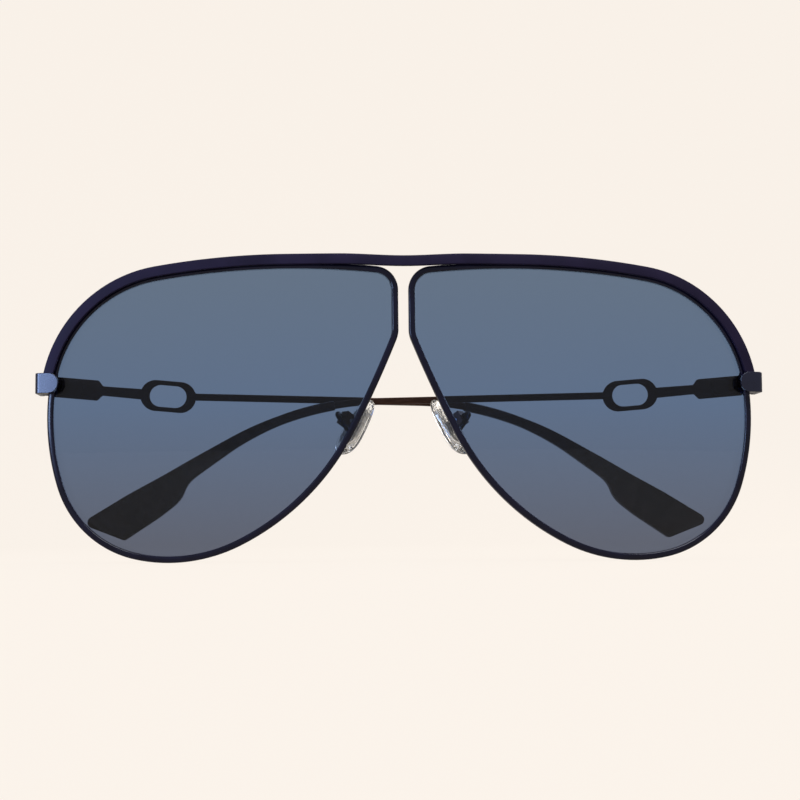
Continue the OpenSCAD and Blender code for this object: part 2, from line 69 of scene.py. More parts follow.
# Camera, floor and lights
view = {
    "target": (-0.85 * mm, 0, 1.9 * mm),
    "distance": 327.97 * mm,
    "azimuth": -2.39,  # degrees
    "elevation": -4.61,
    "roll": -0.33,
    "focalLength": 75.77,
    "sensorWidth": 36,
    "nearest": 1 * mm,
}
room = {
    "floorHeight": cadBox[0].z,
    "floorTone": (0.05, 0.0465, 0.0425, 1),
    "floorGlow": (0.956, 0.888, 0.815, 1),
    "glowSeen": 0.97,  # to the camera and through the lenses
    "glowReflected": 0.27,
    "frontDistance": 2.2,
    "backDistance": 0.9,
    "backHeight": 3.0,
    "backBend": 0.35,  # radius between floor and back
    "bendStep": 5,  # degrees
    "halfWidth": 3,
    "airTone": (0.93, 0.93, 1.0, 1),
    "airStrength": 0.27,
    # name: place, size, watts, colour
    "lamps": {
        "windowLeft": ((-0.60, -0.42, 0.12), 0.22, 2.0, (0.42, 0.60, 1.0)),
        "skylight": ((0.10, -0.12, 0.65), 0.40, 3.0, (0.92, 0.95, 1.0)),
        "fillBehind": ((0.45, 0.50, 0.25), 0.30, 1.5, (1.0, 0.93, 0.86)),
    },
}


def aim(place, target, roll=0):
    back = (Vector(place) - Vector(target)).normalized()
    right = Vector((0, 0, 1)).cross(back).normalized()
    turned = Matrix((right, back.cross(right), back)).transposed().to_4x4()
    return Matrix.Translation(place) @ turned @ Matrix.Rotation(radians(roll), 4, "Z")


def addCamera():
    azimuth, elevation = radians(view["azimuth"]), radians(view["elevation"])
    back = Vector((sin(azimuth) * cos(elevation), -cos(azimuth) * cos(elevation), sin(elevation)))
    place = Vector(view["target"]) + view["distance"] * back
    camera = bpy.data.objects.new("camera", bpy.data.cameras.new("camera"))
    camera.data.lens = view["focalLength"]
    camera.data.sensor_width = view["sensorWidth"]
    camera.data.clip_start = view["nearest"]
    camera.matrix_world = aim(place, view["target"], view["roll"])
    scene.collection.objects.link(camera)
    scene.camera = camera


def addLamps():
    for name, (place, size, watts, colour) in room["lamps"].items():
        lamp = bpy.data.objects.new(name, bpy.data.lights.new(name, "AREA"))
        lamp.data.size = size
        lamp.data.energy = watts
        lamp.data.color = colour
        lamp.matrix_world = aim(place, (0, 0, 0))
        scene.collection.objects.link(lamp)
    scene.view_settings.view_transform = "Standard"


def addFloor(material):
    # A level sheet that curves up behind the sunglasses
    low, far, bend = room["floorHeight"], room["backDistance"], room["backBend"]
    profile = [(-room["frontDistance"], low), (far - bend, low)]
    for angle in range(room["bendStep"], 90 + room["bendStep"], room["bendStep"]):
        turn = radians(angle)
        profile.append((far - bend + bend * sin(turn), low + bend * (1 - cos(turn))))
    profile.append((far, room["backHeight"]))
    places = [(x, y, z) for x in (-room["halfWidth"], room["halfWidth"]) for y, z in profile]
    n = len(profile)
    mesh = bpy.data.meshes.new("floor")
    mesh.from_pydata(places, [], [(i, n + i, n + i + 1, i + 1) for i in range(n - 1)])
    mesh.materials.append(material)
    mesh.shade_smooth()
    floor = bpy.data.objects.new("floor", mesh)
    scene.collection.objects.link(floor)


# Node helpers
def addNode(tree, kind, inputs=None, **settings):
    made = tree.nodes.new(kind)
    for name, value in settings.items():
        setattr(made, name, value)
    for name, value in (inputs or {}).items():
        if isinstance(value, bpy.types.NodeSocket):
            tree.links.new(value, made.inputs[name])
        else:
            made.inputs[name].default_value = value
    return made


def newGroup(name, kind, inputs, outputs):
    tree = bpy.data.node_groups.new(name, kind)
    for label, socketType, value in inputs:
        socket = tree.interface.new_socket(label, in_out="INPUT", socket_type=socketType)
        if value is not None:
            socket.default_value = value
    for label, socketType in outputs:
        tree.interface.new_socket(label, in_out="OUTPUT", socket_type=socketType)
    return tree, tree.nodes.new("NodeGroupInput").outputs, tree.nodes.new("NodeGroupOutput").inputs


def newShapeTree(name, *sizes):
    # A modifier's tree, with its sizes as named inputs
    shape = ("Geometry", "NodeSocketGeometry")
    tree, given, result = newGroup(name, "GeometryNodeTree", (shape + (None,),) + sizes, (shape,))
    tree.is_modifier = True
    return tree, given, result


def endShapeTree(tree, geometry, material, result):
    # Real geometry with its finish, because the export drops instances
    whole = addNode(tree, "GeometryNodeRealizeInstances", {"Geometry": geometry}).outputs[0]
    finished = addNode(tree, "GeometryNodeSetMaterial", {"Geometry": whole, "Material": finishes[material]})
    tree.links.new(finished.outputs[0], result["Geometry"])


def sumsIn(tree):
    # Makes the math nodes of one tree
    def sums(operation, first, second=0.0):
        return addNode(tree, "ShaderNodeMath", {0: first, 1: second}, operation=operation).outputs[0]

    return sums


def objectPlace(tree):
    return addNode(tree, "ShaderNodeTexCoord").outputs["Object"]


def noise(tree, place, scale, detail, **others):
    return addNode(tree, "ShaderNodeTexNoise", {
        "Vector": place, "Scale": scale, "Detail": detail, **others}).outputs["Fac"]


def spread(tree, value, low=0.0, high=1.0, toLow=0.0, toHigh=1.0):
    # A value between low and high becomes one between toLow and toHigh
    return addNode(tree, "ShaderNodeMapRange", {
        "Value": value, "From Min": low, "From Max": high,
        "To Min": toLow, "To Max": toHigh}).outputs["Result"]


def blendColours(tree, mask, first, second):
    return addNode(tree, "ShaderNodeMix", {"Factor": mask, 6: first, 7: second}, data_type="RGBA").outputs[2]


# Shared surface effects, with the patterns' scales per metre
patterns = {"grain": 4200, "cloud": 130, "lines": 5200, "smears": 60}


def buildGrain():
    # Fine grain of a sprayed or moulded surface: uneven gloss, a small height and a tint mask
    tree, given, result = newGroup("surfaceGrain", "ShaderNodeTree", (
        ("Scale", "NodeSocketFloat", 1), ("Gloss Low", "NodeSocketFloat", 0.3),
        ("Gloss High", "NodeSocketFloat", 0.5)),
        (("Roughness", "NodeSocketFloat"), ("Height", "NodeSocketFloat"), ("Tint", "NodeSocketFloat")))
    sums = sumsIn(tree)
    place = objectPlace(tree)
    grain = noise(tree, place, sums("MULTIPLY", given["Scale"], patterns["grain"]), 3.0)
    cloud = noise(tree, place, sums("MULTIPLY", given["Scale"], patterns["cloud"]), 4.0)
    gloss = spread(tree, cloud, 0.3, 0.7, given["Gloss Low"], given["Gloss High"])
    tree.links.new(gloss, result["Roughness"])
    tree.links.new(grain, result["Height"])
    tree.links.new(spread(tree, cloud, 0.35, 0.65), result["Tint"])
    return tree


def buildBrushed():
    # Fine scratches left by polishing, drawn out along X
    tree, given, result = newGroup("brushedLines", "ShaderNodeTree", (
        ("Scale", "NodeSocketFloat", 1), ("Stretch", "NodeSocketFloat", 12)),
        (("Lines", "NodeSocketFloat"), ("Height", "NodeSocketFloat")))
    sums = sumsIn(tree)
    squeeze = addNode(tree, "ShaderNodeCombineXYZ", {
        "X": sums("DIVIDE", 1.0, given["Stretch"]), "Y": 1.0, "Z": 1.0}).outputs[0]
    place = objectPlace(tree)
    drawn = addNode(tree, "ShaderNodeVectorMath", {0: place, 1: squeeze}, operation="MULTIPLY").outputs[0]
    lines = noise(tree, drawn, sums("MULTIPLY", given["Scale"], patterns["lines"]), 5.0)
    tree.links.new(spread(tree, lines, 0.3, 0.7), result["Lines"])
    tree.links.new(lines, result["Height"])
    return tree


def buildHandling():
    # Faint smears from handling: patches where the gloss is duller
    tree, given, result = newGroup("handlingMarks", "ShaderNodeTree", (
        ("Scale", "NodeSocketFloat", 1), ("Clean", "NodeSocketFloat", 0.1),
        ("Smeared", "NodeSocketFloat", 0.3)),
        (("Roughness", "NodeSocketFloat"), ("Marks", "NodeSocketFloat")))
    broad = sumsIn(tree)("MULTIPLY", given["Scale"], patterns["smears"])
    smear = noise(tree, objectPlace(tree), broad, 6.0, Roughness=0.62, Distortion=0.6)
    marks = spread(tree, smear, 0.52, 0.74)
    tree.links.new(marks, result["Marks"])
    tree.links.new(spread(tree, marks, toLow=given["Clean"], toHigh=given["Smeared"]), result["Roughness"])
    return tree


grainGroup, brushedGroup, handlingGroup = buildGrain(), buildBrushed(), buildHandling()


def newMaterial(name, fixed):
    material = bpy.data.materials.new(name)
    material.use_nodes = True
    tree = material.node_tree
    shader = tree.nodes["Principled BSDF"]
    for label, value in fixed.items():
        shader.inputs[label].default_value = value
    return material, tree, shader


def useGroup(tree, group, values):
    return addNode(tree, "ShaderNodeGroup", values, node_tree=group).outputs


def dress(tree, shader, colour, roughness, height, relief):
    # The pattern's colour, gloss and height go to the shader
    bump = addNode(tree, "ShaderNodeBump", {"Height": height, "Strength": relief[0], "Distance": relief[1]})
    tree.links.new(colour, shader.inputs["Base Color"])
    tree.links.new(roughness, shader.inputs["Roughness"])
    tree.links.new(bump.outputs["Normal"], shader.inputs["Normal"])


# Lacquers and metals. The gloss runs from low to high roughness, and the relief is a bump's
# strength and distance. Those with lines are brushed, and the others only have their grain
metals = {
    "satinLacquer": {
        "dark": (0.018, 0.0125, 0.038, 1), "light": (0.028, 0.019, 0.056, 1),
        "grain": 1.0, "gloss": (0.5, 0.64), "relief": (0.25, 0.02 * mm),
        "shader": {"Metallic": 0.1, "Specular IOR Level": 0.22},
    },
    "wireLacquer": {
        "dark": (0.006, 0.006, 0.019, 1), "light": (0.011, 0.010, 0.032, 1),
        "grain": 1.3, "gloss": (0.17, 0.26), "relief": (0.12, 0.01 * mm),
        "shader": {"Metallic": 0.1, "Specular IOR Level": 0.3, "Coat Weight": 0.3, "Coat Roughness": 0.09},
    },
    "glossLacquer": {
        "dark": (0.016, 0.018, 0.044, 1), "light": (0.022, 0.025, 0.060, 1),
        "grain": 1.2, "gloss": (0.24, 0.34), "relief": (0.12, 0.01 * mm),
        "shader": {"Metallic": 0.3, "Coat Weight": 0.6, "Coat Roughness": 0.14},
    },
    "padPlate": {
        "dark": (0.62, 0.61, 0.60, 1), "light": (0.78, 0.77, 0.75, 1),
        "grain": 1.0, "gloss": (0.2, 0.34), "relief": (0.1, 0.01 * mm),
        "shader": {"Metallic": 0.5},
    },
    "bronzeMetal": {
        "dark": (0.066, 0.030, 0.019, 1), "light": (0.125, 0.056, 0.034, 1),
        "grain": 0.8, "gloss": (0.34, 0.46), "relief": (0.2, 0.01 * mm),
        "lines": 1.0, "stretch": 14.0, "shader": {"Metallic": 0.6},
    },
    "steelScrew": {
        "dark": (0.34, 0.34, 0.36, 1), "light": (0.55, 0.55, 0.57, 1),
        "grain": 1.2, "gloss": (0.22, 0.38), "relief": (0.15, 0.008 * mm),
        "lines": 1.4, "stretch": 3.0, "shader": {"Metallic": 1.0},
    },
}
acetate = {
    "dark": (0.036, 0.021, 0.016, 1),
    "light": (0.115, 0.065, 0.044, 1),
    "mottleScale": 210.0,
    "mottleLow": 0.38,
    "mottleHigh": 0.66,
    "relief": (0.06, 0.02 * mm),
    "marks": {"Scale": 1.4, "Clean": 0.24, "Smeared": 0.4},
    "shader": {"Coat Weight": 0.3, "Coat Roughness": 0.08},
}
silicone = {
    "clean": (0.96, 0.965, 0.96, 1),
    "handled": (0.90, 0.895, 0.86, 1),
    "grain": 0.15,
    "relief": (0.08, 0.05 * mm),
    "marks": {"Scale": 3.0, "Clean": 0.05, "Smeared": 0.16},
    "shader": {"Transmission Weight": 1.0, "IOR": 1.42, "Metallic": 0.0},
}
# Lens colour by height: the lens's own gradient dye, with a painted sky reflection in the lighter grey-blue at the
# top
tint = {
    "low": (0.116, 0.138, 0.198, 1),
    "middle": (0.116, 0.182, 0.316, 1),
    "high": (0.134, 0.196, 0.300, 1),
    "lowZ": -26 * mm,
    "middleShare": 0.52,  # of the way up from lowZ to highZ
    "highZ": 27 * mm,
    "marks": {"Scale": 0.5, "Clean": 0.0, "Smeared": 0.035},
    "shader": {"Transmission Weight": 1.0, "IOR": 1.5, "Metallic": 0.0},
}


def metalFinish(name):
    values = metals[name]
    material, tree, shader = newMaterial(name, values["shader"])
    grain = useGroup(tree, grainGroup, {
        "Scale": values["grain"], "Gloss Low": values["gloss"][0], "Gloss High": values["gloss"][1]})
    mask, height = grain["Tint"], grain["Height"]
    if "lines" in values:
        lines = useGroup(tree, brushedGroup, {"Scale": values["lines"], "Stretch": values["stretch"]})
        mask, height = lines["Lines"], lines["Height"]
    colour = blendColours(tree, mask, values["dark"], values["light"])
    dress(tree, shader, colour, grain["Roughness"], height, values["relief"])
    return material


def brownAcetate():
    material, tree, shader = newMaterial("brownAcetate", acetate["shader"])
    marks = useGroup(tree, handlingGroup, acetate["marks"])
    mottle = noise(tree, objectPlace(tree), acetate["mottleScale"], 5.0, Distortion=1.4)
    patches = spread(tree, mottle, acetate["mottleLow"], acetate["mottleHigh"])
    colour = blendColours(tree, patches, acetate["dark"], acetate["light"])
    dress(tree, shader, colour, marks["Roughness"], mottle, acetate["relief"])
    return material


def clearSilicone():
    material, tree, shader = newMaterial("clearSilicone", silicone["shader"])
    marks = useGroup(tree, handlingGroup, silicone["marks"])
    colour = blendColours(tree, marks["Marks"], silicone["clean"], silicone["handled"])
    grain = useGroup(tree, grainGroup, {"Scale": silicone["grain"]})
    dress(tree, shader, colour, marks["Roughness"], grain["Height"], silicone["relief"])
    return material


def gradientLensWithPaintedReflection():
    material, tree, shader = newMaterial("gradientLensWithPaintedReflection", tint["shader"])
    height = addNode(tree, "ShaderNodeSeparateXYZ", {"Vector": objectPlace(tree)}).outputs["Z"]
    # Gradient dye from low to high, and the lighter grey-blue high colour is painted sky reflection
    ramp = addNode(tree, "ShaderNodeValToRGB", {"Fac": spread(tree, height, tint["lowZ"], tint["highZ"])})
    ramp.color_ramp.elements[0].color = tint["low"]
    ramp.color_ramp.elements[1].color = tint["high"]
    ramp.color_ramp.elements.new(tint["middleShare"]).color = tint["middle"]
    tree.links.new(ramp.outputs["Color"], shader.inputs["Base Color"])
    marks = useGroup(tree, handlingGroup, tint["marks"])
    tree.links.new(marks["Roughness"], shader.inputs["Roughness"])
    return material


def paleFloor():
    # Glows evenly where it is seen directly or through a lens, and less in reflections
    material, tree, shader = newMaterial("paleFloor", {
        "Base Color": room["floorTone"], "Emission Color": room["floorGlow"], "Roughness": 0.9,
        "Specular IOR Level": 0.0})
    rays = addNode(tree, "ShaderNodeLightPath").outputs
    seen = sumsIn(tree)("MAXIMUM", rays["Is Camera Ray"], rays["Is Transmission Ray"])
    glow = spread(tree, seen, toLow=room["glowReflected"], toHigh=room["glowSeen"])
    tree.links.new(glow, shader.inputs["Emission Strength"])
    return material


def addAir():
    # Past the floor's edges the air looks as pale as the floor, and what it lights gets a dim cool grey
    air = bpy.data.worlds.new("studioAir")
    air.use_nodes = True
    tree = air.node_tree
    sums = sumsIn(tree)
    background = tree.nodes["Background"]
    rays = addNode(tree, "ShaderNodeLightPath").outputs
    bounced = sums("ADD", rays["Diffuse Depth"], rays["Glossy Depth"])
    passed = sums("GREATER_THAN", rays["Is Transmission Ray"], bounced)
    seen = sums("MAXIMUM", rays["Is Camera Ray"], passed)
    glow = spread(tree, seen, toLow=room["airStrength"], toHigh=room["glowSeen"])
    tree.links.new(blendColours(tree, seen, room["airTone"], room["floorGlow"]), background.inputs["Color"])
    tree.links.new(glow, background.inputs["Strength"])
    scene.world = air


finishes = {name: metalFinish(name) for name in metals}
for makeFinish in (brownAcetate, clearSilicone, gradientLensWithPaintedReflection):
    finishes[makeFinish.__name__] = makeFinish()
addCamera()
addLamps()
addAir()
addFloor(paleFloor())
print("camera, lights, floor and", len(finishes), "finishes made")


# Helpers that finish a piece
def addPiece(name, mesh, material=None):
    if material:
        mesh.materials.clear()
        mesh.materials.append(finishes[material])
    piece = bpy.data.objects.new(name, mesh)
    scene.collection.objects.link(piece)
    return piece


def bake(piece):
    # The evaluated shape becomes the piece's own mesh, and its modifiers go
    bpy.context.view_layer.update()
    evaluated = piece.evaluated_get(bpy.context.evaluated_depsgraph_get())
    mesh = bpy.data.meshes.new_from_object(evaluated)
    piece.modifiers.clear()
    piece.data = mesh
    mesh.name = piece.name
    return piece


def changeMesh(mesh, merge=False, turnOutwards=False):
    # Merges points that meet, or turns the faces outwards
    shape = bmesh.new()
    shape.from_mesh(mesh)
    if merge:
        bmesh.ops.remove_doubles(shape, verts=shape.verts, dist=mergeReach)
    if turnOutwards:
        bmesh.ops.recalc_face_normals(shape, faces=shape.faces)
    shape.to_mesh(mesh)
    shape.free()


def breakEdges(piece, width, values):
    bevel = piece.modifiers.new("soften", "BEVEL")
    bevel.width = width
    bevel.segments = values["segments"]
    bevel.limit_method = "ANGLE"
    bevel.angle_limit = radians(values["edgeAngle"])
    return bevel


def settle(piece, body, slot, *nodes, sharp=38):
    changeMesh(piece.data, turnOutwards=True)
    piece.data.shade_smooth()
    piece.data.set_sharp_from_angle(angle=radians(sharp))
    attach(piece, body)
    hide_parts(*nodes)


def useTree(name, mesh, tree, values):
    # A piece from the tree's modifier, whose inputs are set by their identifiers
    piece = addPiece(name, mesh)
    modifier = piece.modifiers.new("build", "NODES")
    modifier.node_group = tree
    for item in tree.interface.items_tree:
        if item.in_out == "INPUT" and item.name in values:
            modifier[item.identifier] = values[item.name]
    return bake(piece)


def chain(points):
    mesh = bpy.data.meshes.new("chain")
    mesh.from_pydata([tuple(p) for p in points], [(i, i + 1) for i in range(len(points) - 1)], [])
    return mesh


def flipped(points, sign):
    # The left side's points, or their mirror image on the right side
    return [Vector((sign * p[0], p[1], p[2])) for p in points]


# The front follows one sphere. A place on it is given as seen from the front, and by its depth
front = {
    "sphereRadius": 250 * mm,
    "lensWidth": 67.5 * mm,
    "lensHeight": 56.8 * mm,
    "lensGap": 4.3 * mm,
    # Radii as shares of the lens width; zero marks the top, whose radius closes the outline
    "arcShares": (0.07, 3.17, 0.72, 0.456, 0.297, 0.693, 0.359, 0, 0, 0.054),
    "arcTurns": (22, 5.4, 36.4, 38.2, 60.8, 24.4, 74.2, 8.6, 6, 84),
    "firstHeading": 270,  # headings in degrees, anticlockwise from X: straight down by the nose
    "straightSteps": 8,
    "stepTurn": 2.5,
    "stepLength": 1.4 * mm,
}


def onFront(x, z, deep):
    ball = front["sphereRadius"] - deep
    return Vector((x, front["sphereRadius"] - sqrt(ball * ball - x * x - z * z), z))


def chord(heading, turn):
    start, end = radians(heading), radians(heading + turn)
    return sin(end) - sin(start), cos(start) - cos(end)


def lensOutline():
    # A straight side by the nose, then tangent arcs all the way round. Each place on it has its
    # X and Z, the way outwards from the lens, and its heading
    turns = front["arcTurns"]
    heads = [front["firstHeading"] + sum(turns[:i]) for i in range(len(turns))]
    chords = [chord(h, t) for h, t in zip(heads, turns)]
    across = sum(s * c[0] for s, c in zip(front["arcShares"], chords))
    top = -across / sum(c[0] for s, c in zip(front["arcShares"], chords) if s == 0)
    radii = [s or top for s in front["arcShares"]]
    nasal = sum(r * c[1] for r, c in zip(radii, chords))
    straight = front["straightSteps"]
    path = [(0, -nasal * i / straight, front["firstHeading"]) for i in range(straight)]
    x, z = 0, -nasal
    for radius, turn, head in zip(radii, turns, heads):
        length = radius * radians(turn) * front["lensWidth"]
        steps = ceil(max(turn / front["stepTurn"], length / front["stepLength"]))
        for i in range(steps):
            dx, dz = chord(head, turn * i / steps)
            path.append((x + radius * dx, z + radius * dz, head + turn * i / steps))
        dx, dz = chord(head, turn)
        x, z = x + radius * dx, z + radius * dz
    wide = front["lensWidth"] / (max(p[0] for p in path) - min(p[0] for p in path))
    highest, lowest = max(p[1] for p in path), min(p[1] for p in path)
    tall = front["lensHeight"] / (highest - lowest)
    outline = []
    for px, pz, head in path:
        tx, tz = wide * cos(radians(head)), tall * sin(radians(head))
        size = hypot(tx, tz)
        outline.append((front["lensGap"] / 2 + wide * px, tall * (pz - (highest + lowest) / 2),
                        tz / size, -tx / size, head))
    return outline


outline = lensOutline()
middleX = (front["lensGap"] + front["lensWidth"]) / 2  # of the left lens


def beside(p, out):
    # The place at a distance outwards from a place of the outline
    return p[0] + out * p[2], p[1] + out * p[3]


def buildBentWire(material):
    # A path drawn flat, as seen from the front, becomes a wire with rounded corners and is then
    # bent back onto the front's sphere. Nothing of it reaches below Lowest
    tree, given, result = newShapeTree(
        "bentWire" + material, ("Width", "NodeSocketFloat", 1 * mm), ("Depth", "NodeSocketFloat", 1 * mm),
        ("Corner", "NodeSocketFloat", 0.2 * mm), ("Corner Steps", "NodeSocketInt", 5),
        ("Front", "NodeSocketFloat", 0), ("Sphere", "NodeSocketFloat", 250 * mm),
        ("Lowest", "NodeSocketFloat", -1))
    path = addNode(tree, "GeometryNodeMeshToCurve", {"Mesh": given["Geometry"]}).outputs[0]
    level = addNode(tree, "GeometryNodeSetCurveNormal", {"Curve": path}, mode="Z_UP").outputs[0]
    section = addNode(tree, "GeometryNodeCurvePrimitiveQuadrilateral", {
        "Width": given["Width"], "Height": given["Depth"]}, mode="RECTANGLE").outputs[0]
    rounded = addNode(tree, "GeometryNodeFilletCurve", {
        "Curve": section, "Radius": given["Corner"], "Count": given["Corner Steps"]}, mode="POLY").outputs[0]
    wire = addNode(tree, "GeometryNodeCurveToMesh", {
        "Curve": level, "Profile Curve": rounded, "Fill Caps": True}).outputs[0]
    place = addNode(tree, "GeometryNodeInputPosition").outputs[0]
    flat = addNode(tree, "ShaderNodeSeparateXYZ", {"Vector": place}).outputs
    sums = sumsIn(tree)
    height = sums("MAXIMUM", flat["Y"], given["Lowest"])
    middle = sums("ADD", given["Front"], sums("MULTIPLY", given["Depth"], 0.5))
    ball = sums("SUBTRACT", given["Sphere"], sums("ADD", middle, flat["Z"]))
    squares = sums("ADD", sums("MULTIPLY", flat["X"], flat["X"]), sums("MULTIPLY", height, height))
    reach = sums("SQRT", sums("SUBTRACT", sums("MULTIPLY", ball, ball), squares))
    bent = addNode(tree, "ShaderNodeCombineXYZ", {
        "X": flat["X"], "Y": sums("SUBTRACT", given["Sphere"], reach), "Z": height}).outputs[0]
    moved = addNode(tree, "GeometryNodeSetPosition", {"Geometry": wire, "Position": bent}).outputs[0]
    endShapeTree(tree, moved, material, result)
    return tree


rim = {
    "inside": 0.15 * mm,  # how far the wire reaches over the lens
    "outside": 1.14 * mm,
    "depth": 2.4 * mm,
    "corner": 0.42 * mm,
    "openLow": 4.35 * mm,  # the wire is open between these heights, where two blocks close it
    "openHigh": 8.05 * mm,
    "sharp": 50,
}


def rimPath():
    # From the upper block over the lens, down by the nose and round below to the lower block
    points = [beside(p, (rim["outside"] - rim["inside"]) / 2) for p in outline]

    def crossing(height):
        i = next(i for i, p in enumerate(points) if p[0] > middleX and points[i - 1][1] < height <= p[1])
        (x0, z0), (x1, z1) = points[i - 1], points[i]
        return i, (x0 + (x1 - x0) * (height - z0) / (z1 - z0), height)

    lowIndex, lowEnd = crossing(rim["openLow"])
    highIndex, highEnd = crossing(rim["openHigh"])
    return [(x, z, 0) for x, z in [highEnd] + points[highIndex:] + points[:lowIndex] + [lowEnd]]


def buildRims():
    tree = buildBentWire("wireLacquer")
    for side, sign in sides.items():
        wire = useTree(side + "RimWire", chain(flipped(rimPath(), sign)), tree, {
            "Width": rim["outside"] + rim["inside"], "Depth": rim["depth"], "Corner": rim["corner"],
            "Sphere": front["sphereRadius"]})
        settle(wire, "front", "dark_metal", side + "_rim", sharp=rim["sharp"])


bar = {
    "height": 2.1 * mm,
    "thickness": 1.1 * mm,
    "reach": 2.6 * mm,
    "dip": 0.45 * mm,
    "dipReach": 13 * mm,
    "corner": 0.2 * mm,
    "lowest": 8.17 * mm,
    "clearance": 0.02 * mm,
    "fromHeading": 430,  # the stretch of the lens's outline that the bar follows
    "toHeading": 540.01,
    "bridgeSteps": 16,
    "sharp": 50,
}


def buildBrowBar():
    # From the left end over the lens, level across the bridge with a small dip, and its mirror image
    out, steps = bar["reach"] - bar["height"] / 2, bar["bridgeSteps"]
    half = [beside(p, out) for p in outline if bar["fromHeading"] <= p[4] <= bar["toHeading"]]
    half = [p for p in half if p[1] > bar["lowest"] - bar["height"]]
    peakX, peakZ = half[-1]
    half += [(peakX * (1 - i / steps), peakZ) for i in range(1, steps + 1)]
    for i, (x, z) in enumerate(half):
        near = max(0, 1 - x / bar["dipReach"])
        half[i] = (x, z - bar["dip"] * near * near * (3 - 2 * near))
    path = [(x, z, 0) for x, z in half] + [(-x, z, 0) for x, z in reversed(half[:-1])]
    piece = useTree("browBar", chain(path), buildBentWire("satinLacquer"), {
        "Width": bar["height"], "Depth": bar["thickness"], "Corner": bar["corner"],
        "Front": -bar["thickness"] - bar["clearance"], "Sphere": front["sphereRadius"],
        "Lowest": bar["lowest"]})
    settle(piece, "front", "dark_metal", "brow_bar", sharp=bar["sharp"])


lens = {
    "inset": 0.7 * mm,  # from the front of the rim
    "thickness": 1.9 * mm,
    "fit": 0.05 * mm,
    "edge": 0.15 * mm,
    "rings": 26,
    "sharp": 25,
}


def buildLenses():
    fore, back, edge = lens["inset"], lens["inset"] + lens["thickness"], lens["edge"]
    shares = [i / lens["rings"] for i in range(1, lens["rings"] + 1)]
    # Rings from the middle of the front face over the edge to the middle of the back face
    rings = [(share, -lens["fit"] - edge, fore) for share in shares]
    rings += [(1, -lens["fit"], fore + edge), (1, -lens["fit"], back - edge)]
    rings += [(share, -lens["fit"] - edge, back) for share in reversed(shares)]
    n = len(outline)
    for side, sign in sides.items():
        places = [onFront(sign * middleX, 0, fore)]
        for share, out, deep in rings:
            for p in outline:
                x, z = beside(p, out)
                places.append(onFront(sign * (middleX + share * (x - middleX)), share * z, deep))
        places.append(onFront(sign * middleX, 0, back))
        faces = [(0, 1 + i, 1 + (i + 1) % n) for i in range(n)]
        for r in range(len(rings) - 1):
            a, b = 1 + r * n, 1 + (r + 1) * n
            faces += [(a + i, b + i, b + (i + 1) % n, a + (i + 1) % n) for i in range(n)]
        a = 1 + (len(rings) - 1) * n
        faces += [(a + i, len(places) - 1, a + (i + 1) % n) for i in range(n)]
        mesh = bpy.data.meshes.new(side + "Lens")
        mesh.from_pydata([tuple(p) for p in places], [], faces)
        piece = addPiece(side + "Lens", mesh, "gradientLensWithPaintedReflection")
        settle(piece, "front", "lens_tint", side + "_lens", sharp=lens["sharp"])


softened = {
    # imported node: finish, width of the broken edge
    "endpiece": ("glossLacquer", 0.14 * mm),
    "lock_upper": ("satinLacquer", 0.08 * mm),
    "lock_lower": ("satinLacquer", 0.08 * mm),
    "front_hinge": ("satinLacquer", 0.06 * mm),
    "temple_hinge": ("bronzeMetal", 0.06 * mm),
    "pad_box": ("bronzeMetal", 0.07 * mm),
    "pad_core": ("padPlate", 0.05 * mm),
}
softening = {
    "flatAngle": 0.5,  # faces that differ by less are joined
    "edgeAngle": 32,  # edges sharper than this are broken
    "segments": 3,
}


def softenedCopy(node, material, width, name):
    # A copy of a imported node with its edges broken
    shape = bmesh.new()
    shape.from_mesh(frame["nodes"][node].data)
    bmesh.ops.remove_doubles(shape, verts=shape.verts, dist=mergeReach)
    bmesh.ops.dissolve_limit(shape, angle_limit=radians(softening["flatAngle"]), verts=shape.verts,
                             edges=shape.edges)
    mesh = bpy.data.meshes.new(name)
    shape.to_mesh(mesh)
    shape.free()
    piece = addPiece(name, mesh, material)
    bevel = breakEdges(piece, width, softening)
    bevel.harden_normals = True
    return bake(piece)


def bodyOf(node):
    return next(b for b, members in frame["record"]["behaviour"]["bodies"].items() if node in members)


def buildSmallMetal():
    for kind, (material, width) in softened.items():
        for side in sides:
            node = side + "_" + kind
            first, second = kind.split("_") if "_" in kind else (kind, "")
            piece = softenedCopy(node, material, width, side + first.title() + second.title())
            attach(piece, bodyOf(node))
            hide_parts(node)


screws = {
    # kind: shank radius, shank length, head radius, head height
    "hinge": (0.55 * mm, 3.9 * mm, 0.935 * mm, 0.44 * mm),
    "lock": (0.5 * mm, 3.3 * mm, 0.75 * mm, 0.47 * mm),
    "pad": (0.4 * mm, 2.4 * mm, 0.72 * mm, 0.4 * mm),
}
screwHeads = {
    "slotShare": 0.34,  # width of the slot, in head radii
    "edgeShare": 0.12,  # width of the broken edge, in head heights
    "edgeAngle": 40,
    "segments": 2,
    "shankSides": 32,
    "headSides": 48,
}


